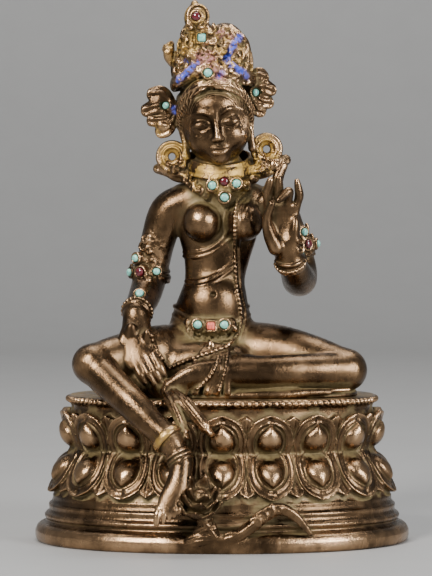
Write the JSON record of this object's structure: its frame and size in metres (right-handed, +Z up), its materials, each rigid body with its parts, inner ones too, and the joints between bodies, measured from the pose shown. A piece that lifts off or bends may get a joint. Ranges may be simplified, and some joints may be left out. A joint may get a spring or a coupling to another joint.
{
  "type": "tara figure",
  "caption": "Cast copper-alloy figure of the goddess Tara seated with one leg pendant on a double-lotus base, crowned and set with small cabochon stones.",
  "frame": {"origin": "centre of the lotus base's underside", "axes": "+Z up through the figure, -Y towards the viewer whom the figure faces, +X to the viewer's right"},
  "size_m": [0.1196, 0.0941, 0.1715],
  "materials": {
    "figure_bronze": "dark brown patinated copper alloy, polished where it is handled, with worn cold gilding at the neck and crown",
    "base_bronze": "dark brown patinated copper alloy, polished on the bosses and the lip, dusty in the hollows",
    "turquoise": "pale green turquoise, opaque, polished and slightly worn",
    "garnet": "dark red garnet, polished",
    "coral": "salmon red coral, opaque, polished"
  },
  "bodies": {
    "root": {"figure": "figure_bronze", "lotus_base": "base_bronze", "crown_finial_garnet": "garnet", "crown_turquoise": "turquoise", "brow_turquoise": "turquoise", "right_ear_turquoise": "turquoise", "left_ear_turquoise": "turquoise", "necklace_right_turquoise": "turquoise", "necklace_garnet": "garnet", "necklace_left_turquoise": "turquoise", "necklace_drop_turquoise": "turquoise", "right_armlet_outer_turquoise": "turquoise", "right_armlet_garnet": "garnet", "right_armlet_inner_turquoise": "turquoise", "right_armlet_top_turquoise": "turquoise", "right_bracelet_turquoise": "turquoise", "left_armlet_top_turquoise": "turquoise", "left_armlet_garnet": "garnet", "left_armlet_outer_turquoise": "turquoise", "left_armlet_low_turquoise": "turquoise", "belt_right_turquoise": "turquoise", "belt_coral": "coral", "belt_left_turquoise": "turquoise"}
  },
  "joints": []
}
